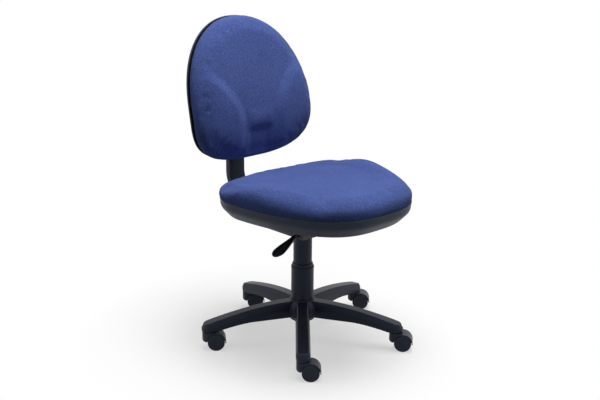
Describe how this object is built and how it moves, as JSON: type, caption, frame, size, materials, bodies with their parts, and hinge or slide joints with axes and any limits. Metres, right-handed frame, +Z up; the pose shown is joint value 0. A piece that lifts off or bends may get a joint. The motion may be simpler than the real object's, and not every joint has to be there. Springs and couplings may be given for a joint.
{
  "type": "swivel office chair",
  "caption": "Armless swivel chair: star base on twin wheel casters, gas lift column, padded seat in a moulded pan, and a contoured padded back on a cranked bar.",
  "frame": {"origin": "on the column's axis at the floor", "axes": "+Z up, -Y towards the front of the seat, +X towards the sitter's left"},
  "size_m": [0.5868, 0.6453, 0.896],
  "materials": {
    "plastic": "moulded black nylon with a fine grain",
    "caster_plastic": "smooth black nylon",
    "pan_plastic": "fine grained black polypropylene",
    "cover_plastic": "satin black polypropylene",
    "white_plastic": "plain acetal",
    "powder_black": "black powder coat",
    "zinc": "zinc plated",
    "rod_steel": "ground and polished",
    "valve_steel": "red lacquer",
    "rubber": "matt",
    "plywood": "bare beech plywood",
    "screw_black": "black oxide",
    "upholstery": "woven blue polyester over moulded foam"
  },
  "bodies": {
    "base": {"star_base": "plastic", "caster_stems": "zinc", "stem_rings": "zinc", "column_tube": "powder_black", "guide_bush": "white_plastic", "cover_lower": "cover_plastic", "thrust_bearing": "zinc"},
    "piston": {"piston_rod": "rod_steel", "rod_clip": "zinc", "bump_stop": "rubber"},
    "lift": {"gas_cylinder": "powder_black", "cover_upper": "cover_plastic", "mech_housing": "powder_black", "mech_plate": "powder_black", "taper_socket": "powder_black", "bar_guide": "powder_black", "mech_bolts": "zinc", "tee_nuts": "zinc", "lever_pin": "zinc", "seat_pan": "pan_plastic", "seat_board": "plywood", "pan_screws": "screw_black", "seat_cushion": "upholstery"},
    "middle_cover": {"cover_middle": "cover_plastic"},
    "lever": {"lever_arm": "powder_black", "lever_paddle": "caster_plastic"},
    "valve": {"valve_pin": "valve_steel"},
    "depth_clamp": {"depth_stud": "zinc", "depth_knob": "caster_plastic"},
    "bar": {"back_bar": "powder_black", "bar_sleeve": "cover_plastic"},
    "back": {"back_channel": "powder_black", "back_board": "plywood", "back_shell": "pan_plastic", "back_screws": "screw_black", "back_cushion": "upholstery"},
    "height_clamp": {"height_stud": "zinc", "height_knob": "caster_plastic"},
    "caster_1": {"hood_1": "caster_plastic", "axle_1": "zinc"},
    "wheel_left_1": {"wheel_left_1": "caster_plastic"},
    "wheel_right_1": {"wheel_right_1": "caster_plastic"},
    "caster_2": {"hood_2": "caster_plastic", "axle_2": "zinc"},
    "wheel_left_2": {"wheel_left_2": "caster_plastic"},
    "wheel_right_2": {"wheel_right_2": "caster_plastic"},
    "caster_3": {"hood_3": "caster_plastic", "axle_3": "zinc"},
    "wheel_left_3": {"wheel_left_3": "caster_plastic"},
    "wheel_right_3": {"wheel_right_3": "caster_plastic"},
    "caster_4": {"hood_4": "caster_plastic", "axle_4": "zinc"},
    "wheel_left_4": {"wheel_left_4": "caster_plastic"},
    "wheel_right_4": {"wheel_right_4": "caster_plastic"},
    "caster_5": {"hood_5": "caster_plastic", "axle_5": "zinc"},
    "wheel_left_5": {"wheel_left_5": "caster_plastic"},
    "wheel_right_5": {"wheel_right_5": "caster_plastic"}
  },
  "joints": [
    {"name": "seat_swivel", "type": "hinge", "parent": "base", "child": "piston", "pos_m": [0, 0, 0.05], "axis": [0, 0, 1], "continuous": true},
    {"name": "seat_lift", "type": "slide", "parent": "piston", "child": "lift", "axis": [0, 0, 1], "range_m": [-0.06, 0.06]},
    {"name": "cover_slide", "type": "slide", "parent": "base", "child": "middle_cover", "axis": [0, 0, 1], "range_m": [-0.03, 0.03]},
    {"name": "lever_lift", "type": "hinge", "parent": "lift", "child": "lever", "pos_m": [-0.062, -0.055, 0.345], "axis": [0, 1, 0], "range_deg": [0, 4], "stiffness_Nm_per_rad": 3, "springref_deg": -2.86},
    {"name": "valve_press", "type": "slide", "parent": "lift", "child": "valve", "axis": [0, 0, -1], "range_m": [0, 0.0045]},
    {"name": "depth_knob_turn", "type": "hinge", "parent": "lift", "child": "depth_clamp", "pos_m": [0, 0.09, 0.32], "axis": [0, 0, 1], "continuous": true},
    {"name": "back_depth", "type": "slide", "parent": "lift", "child": "bar", "axis": [0, 1, 0], "range_m": [-0.008, 0.032]},
    {"name": "back_height", "type": "slide", "parent": "bar", "child": "back", "axis": [0, 0, 1], "range_m": [-0.008, 0.052]},
    {"name": "height_knob_turn", "type": "hinge", "parent": "back", "child": "height_clamp", "pos_m": [0, 0.3, 0.572], "axis": [0, 1, 0], "continuous": true},
    {"name": "caster_1_swivel", "type": "hinge", "parent": "base", "child": "caster_1", "pos_m": [-0.18825, -0.20047, 0.03], "axis": [0, 0, 1], "continuous": true},
    {"name": "wheel_left_1_roll", "type": "hinge", "parent": "caster_1", "child": "wheel_left_1", "pos_m": [-0.17386, -0.21436, 0.024], "axis": [0.6947, 0.7193, 0], "continuous": true},
    {"name": "wheel_right_1_roll", "type": "hinge", "parent": "caster_1", "child": "wheel_right_1", "pos_m": [-0.17386, -0.21436, 0.024], "axis": [0.6947, 0.7193, 0], "continuous": true},
    {"name": "caster_2_swivel", "type": "hinge", "parent": "base", "child": "caster_2", "pos_m": [0.13248, -0.24098, 0.03], "axis": [0, 0, 1], "continuous": true},
    {"name": "wheel_left_2_roll", "type": "hinge", "parent": "caster_2", "child": "wheel_left_2", "pos_m": [0.14534, -0.25631, 0.024], "axis": [0.766, 0.6428, 0], "continuous": true},
    {"name": "wheel_right_2_roll", "type": "hinge", "parent": "caster_2", "child": "wheel_right_2", "pos_m": [0.14534, -0.25631, 0.024], "axis": [0.766, 0.6428, 0], "continuous": true},
    {"name": "caster_3_swivel", "type": "hinge", "parent": "base", "child": "caster_3", "pos_m": [0.27013, 0.05153, 0.03], "axis": [0, 0, 1], "continuous": true},
    {"name": "wheel_left_3_roll", "type": "hinge", "parent": "caster_3", "child": "wheel_left_3", "pos_m": [0.28377, 0.0369, 0.024], "axis": [0.7314, 0.682, 0], "continuous": true},
    {"name": "wheel_right_3_roll", "type": "hinge", "parent": "caster_3", "child": "wheel_right_3", "pos_m": [0.28377, 0.0369, 0.024], "axis": [0.7314, 0.682, 0], "continuous": true},
    {"name": "caster_4_swivel", "type": "hinge", "parent": "base", "child": "caster_4", "pos_m": [0.03447, 0.27283, 0.03], "axis": [0, 0, 1], "continuous": true},
    {"name": "wheel_left_4_roll", "type": "hinge", "parent": "caster_4", "child": "wheel_left_4", "pos_m": [0.04956, 0.25971, 0.024], "axis": [0.6561, 0.7547, 0], "continuous": true},
    {"name": "wheel_right_4_roll", "type": "hinge", "parent": "caster_4", "child": "wheel_right_4", "pos_m": [0.04956, 0.25971, 0.024], "axis": [0.6561, 0.7547, 0], "continuous": true},
    {"name": "caster_5_swivel", "type": "hinge", "parent": "base", "child": "caster_5", "pos_m": [-0.24883, 0.11709, 0.03], "axis": [0, 0, 1], "continuous": true},
    {"name": "wheel_left_5_roll", "type": "hinge", "parent": "caster_5", "child": "wheel_left_5", "pos_m": [-0.23307, 0.10478, 0.024], "axis": [0.6157, 0.788, 0], "continuous": true},
    {"name": "wheel_right_5_roll", "type": "hinge", "parent": "caster_5", "child": "wheel_right_5", "pos_m": [-0.23307, 0.10478, 0.024], "axis": [0.6157, 0.788, 0], "continuous": true}
  ],
  "couplings": [
    {"joint": "cover_slide", "follows": "seat_lift", "ratio": 0.5},
    {"joint": "valve_press", "follows": "lever_lift", "m_per_rad": 0.062}
  ]
}
